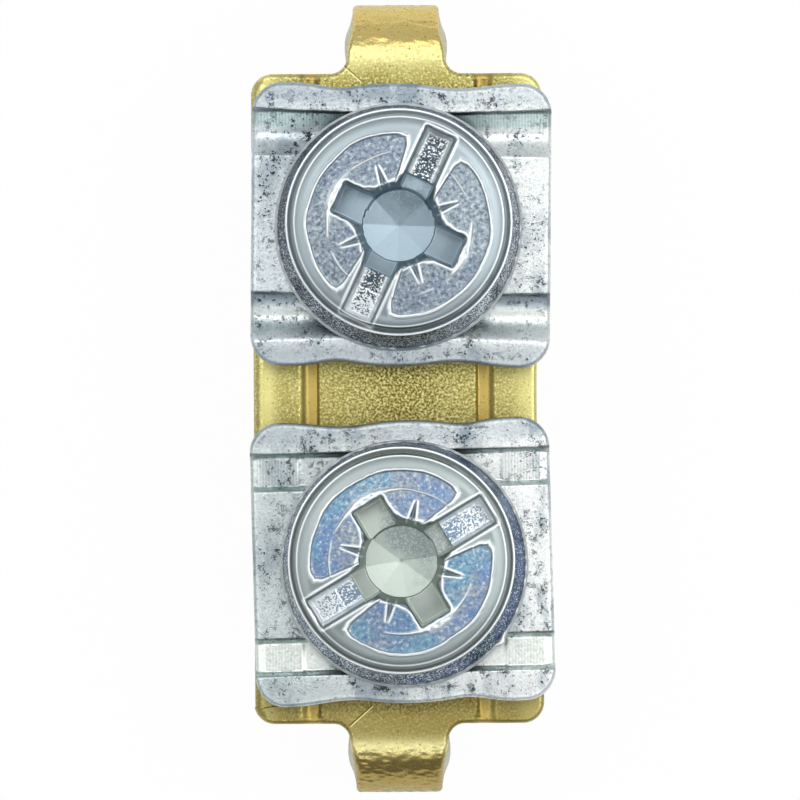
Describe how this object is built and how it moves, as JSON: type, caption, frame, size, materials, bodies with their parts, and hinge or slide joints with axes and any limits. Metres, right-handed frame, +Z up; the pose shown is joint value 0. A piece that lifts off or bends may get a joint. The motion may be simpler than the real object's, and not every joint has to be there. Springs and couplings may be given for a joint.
{
  "type": "neutral terminal",
  "caption": "Screw terminal: a brass bar on bent legs, with pressed steel clamp plates held down by pan-head screws.",
  "frame": {"origin": "midway between the legs, level with their ends", "axes": "+Z up through the screw heads, +Y along the bar, +X across it"},
  "size_m": [0.0101, 0.0262, 0.0113],
  "materials": {
    "brass_bar": "stamped, slightly grainy, lightly tarnished",
    "upper_plate_zinc": "blue-passivated zinc on steel, pitted",
    "lower_plate_zinc": "blue-passivated zinc on steel, pitted",
    "upper_screw_zinc": "blue-passivated zinc on steel",
    "lower_screw_zinc": "blue-passivated zinc on steel, iridescent"
  },
  "bodies": {
    "bar": {"terminal_bar": "brass_bar"},
    "upper_plate": {"upper_clamp": "upper_plate_zinc"},
    "upper_turning_screw": {"upper_screw": "upper_screw_zinc"},
    "lower_plate": {"lower_clamp": "lower_plate_zinc"},
    "lower_turning_screw": {"lower_screw": "lower_screw_zinc"}
  },
  "joints": [
    {"name": "upper_lift", "type": "slide", "parent": "bar", "child": "upper_plate", "axis": [0, 0, 1], "range_m": [0, 0.0028]},
    {"name": "upper_turn", "type": "hinge", "parent": "upper_plate", "child": "upper_turning_screw", "pos_m": [0, 0.00572, 0.0089], "axis": [0, 0, 1], "range_deg": [0, 1440]},
    {"name": "lower_lift", "type": "slide", "parent": "bar", "child": "lower_plate", "axis": [0, 0, 1], "range_m": [0, 0.0028]},
    {"name": "lower_turn", "type": "hinge", "parent": "lower_plate", "child": "lower_turning_screw", "pos_m": [0, -0.00538, 0.0089], "axis": [0, 0, 1], "range_deg": [0, 1440]}
  ],
  "couplings": [
    {"joint": "upper_turn", "follows": "upper_lift", "rad_per_m": 8976},
    {"joint": "lower_turn", "follows": "lower_lift", "rad_per_m": 8976}
  ]
}
